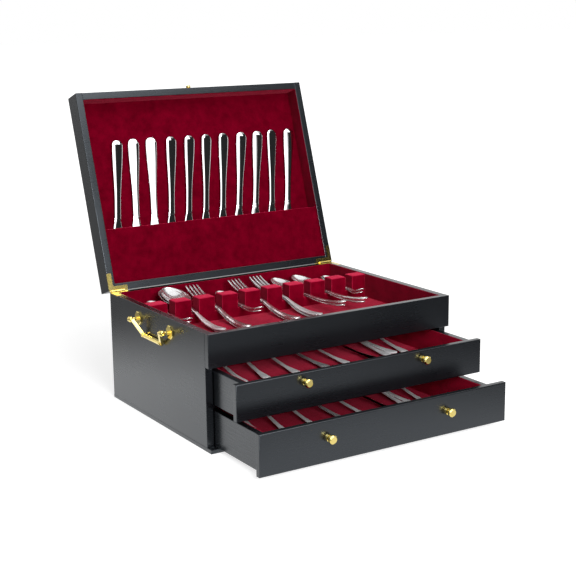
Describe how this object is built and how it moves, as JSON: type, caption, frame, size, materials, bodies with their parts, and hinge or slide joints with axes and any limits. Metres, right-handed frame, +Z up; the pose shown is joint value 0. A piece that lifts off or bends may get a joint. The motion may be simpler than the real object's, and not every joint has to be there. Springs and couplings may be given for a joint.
{
  "type": "silverware chest",
  "caption": "Lidded flatware chest with a lift-up lid that holds knives, a slotted tray, sliding drawers with slotted racks and hinged lift handles.",
  "frame": {"origin": "centre of the case's footprint on the underside of the base", "axes": "+X to the chest's right as seen from the front, +Y to the back, +Z up"},
  "size_m": [0.4892, 0.6377, 0.5114],
  "materials": {
    "lacquered_wood": "black satin lacquer",
    "velvet": "crimson flocked velvet",
    "brass": "polished",
    "stainless": "mirror polished"
  },
  "bodies": {
    "cabinet": {"base_plate": "lacquered_wood", "back_panel": "lacquered_wood", "front_apron": "lacquered_wood", "drawer_divider": "lacquered_wood", "tray_floor": "lacquered_wood", "tray_lining": "velvet", "tray_rack_bar": "velvet", "tray_rack_blocks": "velvet", "hinge_pins": "brass", "hinge_screws_case": "brass", "side_panel_left": "lacquered_wood", "side_panel_right": "lacquered_wood", "hinge_leaf_case_left": "brass", "hinge_leaf_case_right": "brass", "handle_posts_left": "brass", "handle_posts_right": "brass", "tray_teaspoons": "stainless", "tray_serving_spoons": "stainless", "tray_forks": "stainless", "tray_spoons": "stainless"},
    "lid": {"lid_top_panel": "lacquered_wood", "lid_front": "lacquered_wood", "lid_back": "lacquered_wood", "lid_side_left": "lacquered_wood", "lid_side_right": "lacquered_wood", "lid_lining": "velvet", "knife_pocket": "velvet", "knife_pocket_ribs": "velvet", "table_knives": "stainless", "lid_knob": "brass", "hinge_leaf_lid_left": "brass", "hinge_leaf_lid_right": "brass", "hinge_screws_lid": "brass"},
    "drawer_upper": {"upper_front": "lacquered_wood", "upper_side_left": "lacquered_wood", "upper_side_right": "lacquered_wood", "upper_back": "lacquered_wood", "upper_bottom": "lacquered_wood", "upper_lining": "velvet", "upper_rack_bar": "velvet", "upper_rack_blocks": "velvet", "upper_knobs": "brass", "upper_spoons": "stainless", "upper_forks": "stainless", "upper_butter_knives": "stainless"},
    "drawer_lower": {"lower_front": "lacquered_wood", "lower_side_left": "lacquered_wood", "lower_side_right": "lacquered_wood", "lower_back": "lacquered_wood", "lower_bottom": "lacquered_wood", "lower_lining": "velvet", "lower_rack_bar": "velvet", "lower_rack_blocks": "velvet", "lower_knobs": "brass", "lower_spoons": "stainless", "lower_forks": "stainless", "lower_butter_knives": "stainless"},
    "bail_left": {"bail_left": "brass"},
    "bail_right": {"bail_right": "brass"}
  },
  "joints": [
    {"name": "lid_hinge", "type": "hinge", "parent": "cabinet", "child": "lid", "pos_m": [0, 0.1715, 0.1832], "axis": [1, 0, 0], "range_deg": [0, 108.1]},
    {"name": "upper_drawer_slide", "type": "slide", "parent": "cabinet", "child": "drawer_upper", "axis": [0, -1, 0], "range_m": [-0.0806, 0.1194]},
    {"name": "lower_drawer_slide", "type": "slide", "parent": "cabinet", "child": "drawer_lower", "axis": [0, -1, 0], "range_m": [-0.1422, 0.0578]},
    {"name": "bail_left_hinge", "type": "hinge", "parent": "cabinet", "child": "bail_left", "pos_m": [-0.24, 0.005, 0.1614], "axis": [0, 1, 0], "range_deg": [0, 230]},
    {"name": "bail_right_hinge", "type": "hinge", "parent": "cabinet", "child": "bail_right", "pos_m": [0.24, 0.005, 0.1614], "axis": [0, -1, 0], "range_deg": [0, 230]}
  ]
}
